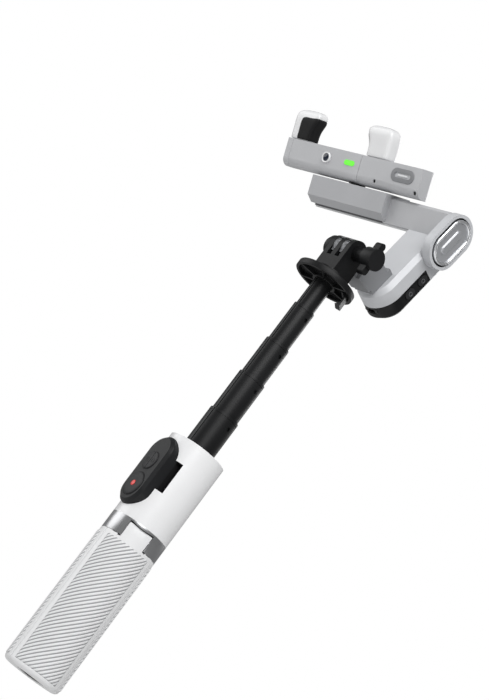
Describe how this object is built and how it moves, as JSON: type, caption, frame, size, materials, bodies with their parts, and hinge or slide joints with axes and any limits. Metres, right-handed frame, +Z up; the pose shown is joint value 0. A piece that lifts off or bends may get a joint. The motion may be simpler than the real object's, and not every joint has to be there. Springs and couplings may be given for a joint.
{
  "type": "gimbal stabilizer",
  "caption": "Hand-held gimbal stabilizer with fold-out grip legs, telescopic pole, pull-out remote, powered tilt and pan arm and sliding phone holder.",
  "frame": {"origin": "centre of the grip's lower end, where the folded legs stand", "axes": "+Z up the pole, +X along the clamp bolt towards its thumb knob, -Y towards the front, where the remote faces"},
  "size_m": [0.1464, 0.0766, 0.3713],
  "materials": {
    "white_shell": "smooth gloss white",
    "leg_white": "satin white with grey slanted grooves",
    "metal_collar": "brushed grey metal",
    "steel": "plain steel",
    "sleeve_metal": "plain aluminium",
    "black_rubber": "soft black rubber",
    "remote_black": "satin charcoal",
    "button_black": "satin charcoal with pale marks",
    "board_green": "green circuit board",
    "cell_metal": "steel cell can",
    "tube_black": "satin black",
    "black_plastic": "satin black",
    "pale_grey": "fine satin silver-grey",
    "foot_grey": "satin grey",
    "black_shell": "satin black",
    "battery_blue": "blue wrap",
    "port_metal": "steel shell",
    "chrome_trim": "bright chrome",
    "dish_grey": "satin grey",
    "motor_copper": "copper windings on steel, simplified",
    "arm_grey": "satin silver-grey",
    "strip_pale": "satin pale grey",
    "cover_dark": "satin dark grey",
    "lens_glass": "glossy blue-black",
    "lamp_green": "green lamp window",
    "cover_grey": "satin grey"
  },
  "bodies": {
    "handle": {"inner_sleeve": "sleeve_metal", "handle_body": "white_shell", "collar": "metal_collar", "leg_pins": "steel"},
    "leg_a": {"leg_1": "leg_white", "foot_pad_1": "black_rubber"},
    "leg_b": {"leg_2": "leg_white", "foot_pad_2": "black_rubber"},
    "leg_c": {"leg_3": "leg_white", "foot_pad_3": "black_rubber"},
    "remote": {"remote_case": "remote_black", "remote_board": "board_green", "remote_cell": "cell_metal"},
    "shutter_key": {"shutter_button": "button_black"},
    "left_key": {"left_button": "button_black"},
    "right_key": {"right_button": "button_black"},
    "pole_1": {"tube_1": "tube_black"},
    "pole_2": {"tube_2": "tube_black"},
    "pole_3": {"tube_3": "tube_black"},
    "pole_4": {"tube_4": "tube_black"},
    "pole_5": {"tube_5": "tube_black", "mount_disc": "black_plastic", "prong_mount": "black_plastic", "disc_latch": "black_plastic", "bolt_nut": "black_plastic"},
    "clamp_screw": {"clamp_bolt": "steel", "thumb_knob": "black_plastic"},
    "base": {"prong_foot": "foot_grey", "base_top_shell": "pale_grey", "base_lower_shell": "black_shell", "base_battery": "battery_blue", "base_board": "board_green", "charge_port": "port_metal", "motor_pod": "pale_grey", "pod_backing": "black_plastic", "chrome_ring": "chrome_trim", "pod_dish": "dish_grey", "tilt_stator": "motor_copper"},
    "base_key_a": {"button_a": "black_shell"},
    "base_key_b": {"button_b": "black_shell"},
    "arm": {"tilt_shaft": "steel", "arm_bar": "arm_grey", "arm_strip": "strip_pale", "block_shell": "arm_grey", "block_cover": "cover_dark", "pan_motor": "motor_copper"},
    "holder": {"pan_hub": "black_plastic", "bar_body": "arm_grey", "bar_end_cap": "arm_grey", "guide_rods": "steel", "left_jaw": "white_shell", "left_pad": "black_rubber", "lens_bezel": "white_shell", "lens": "lens_glass", "status_lamp": "lamp_green"},
    "slider": {"carriage": "arm_grey", "right_jaw": "white_shell", "right_pad": "black_rubber", "port_cover": "cover_grey", "bar_screws": "black_plastic"}
  },
  "joints": [
    {"name": "leg_a_fold", "type": "hinge", "parent": "handle", "child": "leg_a", "pos_m": [0.00985, -0.0077, 0.0865], "axis": [-0.6157, -0.788, 0], "range_deg": [0, 60]},
    {"name": "leg_b_fold", "type": "hinge", "parent": "handle", "child": "leg_b", "pos_m": [0.00174, 0.01238, 0.0865], "axis": [0.9903, -0.1392, 0], "range_deg": [0, 60]},
    {"name": "leg_c_fold", "type": "hinge", "parent": "handle", "child": "leg_c", "pos_m": [-0.01159, -0.00468, 0.0865], "axis": [-0.3746, 0.9272, 0], "range_deg": [0, 60]},
    {"name": "remote_out", "type": "slide", "parent": "handle", "child": "remote", "axis": [-0.2079, -0.9781, 0], "range_m": [0, 0.03]},
    {"name": "shutter_press", "type": "slide", "parent": "remote", "child": "shutter_key", "axis": [0.2079, 0.9781, 0], "range_m": [0, 0.0008], "stiffness_N_per_m": 1500},
    {"name": "left_press", "type": "slide", "parent": "remote", "child": "left_key", "axis": [0.2079, 0.9781, 0], "range_m": [0, 0.0008], "stiffness_N_per_m": 1500},
    {"name": "right_press", "type": "slide", "parent": "remote", "child": "right_key", "axis": [0.2079, 0.9781, 0], "range_m": [0, 0.0008], "stiffness_N_per_m": 1500},
    {"name": "pole_1_slide", "type": "slide", "parent": "handle", "child": "pole_1", "axis": [0, 0, 1], "range_m": [-0.018, 0.056]},
    {"name": "pole_2_slide", "type": "slide", "parent": "pole_1", "child": "pole_2", "axis": [0, 0, 1], "range_m": [-0.0235, 0.056]},
    {"name": "pole_3_slide", "type": "slide", "parent": "pole_2", "child": "pole_3", "axis": [0, 0, 1], "range_m": [-0.022, 0.056]},
    {"name": "pole_4_slide", "type": "slide", "parent": "pole_3", "child": "pole_4", "axis": [0, 0, 1], "range_m": [-0.0233, 0.056]},
    {"name": "pole_5_slide", "type": "slide", "parent": "pole_4", "child": "pole_5", "axis": [0, 0, 1], "range_m": [-0.015, 0.056]},
    {"name": "screw_turn", "type": "hinge", "parent": "pole_5", "child": "clamp_screw", "pos_m": [0, 0, 0.2779], "axis": [1, 0, 0], "continuous": true},
    {"name": "head_swing", "type": "hinge", "parent": "pole_5", "child": "base", "pos_m": [0, 0, 0.2779], "axis": [1, 0, 0], "range_deg": [0, 100]},
    {"name": "base_press_a", "type": "slide", "parent": "base", "child": "base_key_a", "axis": [-1, 0, 0], "range_m": [0, 0.0006], "stiffness_N_per_m": 1500},
    {"name": "base_press_b", "type": "slide", "parent": "base", "child": "base_key_b", "axis": [-1, 0, 0], "range_m": [0, 0.0006], "stiffness_N_per_m": 1500},
    {"name": "tilt_turn", "type": "hinge", "parent": "base", "child": "arm", "pos_m": [0.01, 0.042, 0.3289], "axis": [1, 0, 0], "range_deg": [-40, 60]},
    {"name": "pan_turn", "type": "hinge", "parent": "arm", "child": "holder", "pos_m": [-0.0635, 0.03183, 0.33844], "axis": [0, -0.4695, 0.8829], "range_deg": [-160, 160]},
    {"name": "jaw_slide", "type": "slide", "parent": "holder", "child": "slider", "axis": [1, 0, 0], "range_m": [0, 0.03], "stiffness_N_per_m": 200, "springref_m": -0.01}
  ]
}
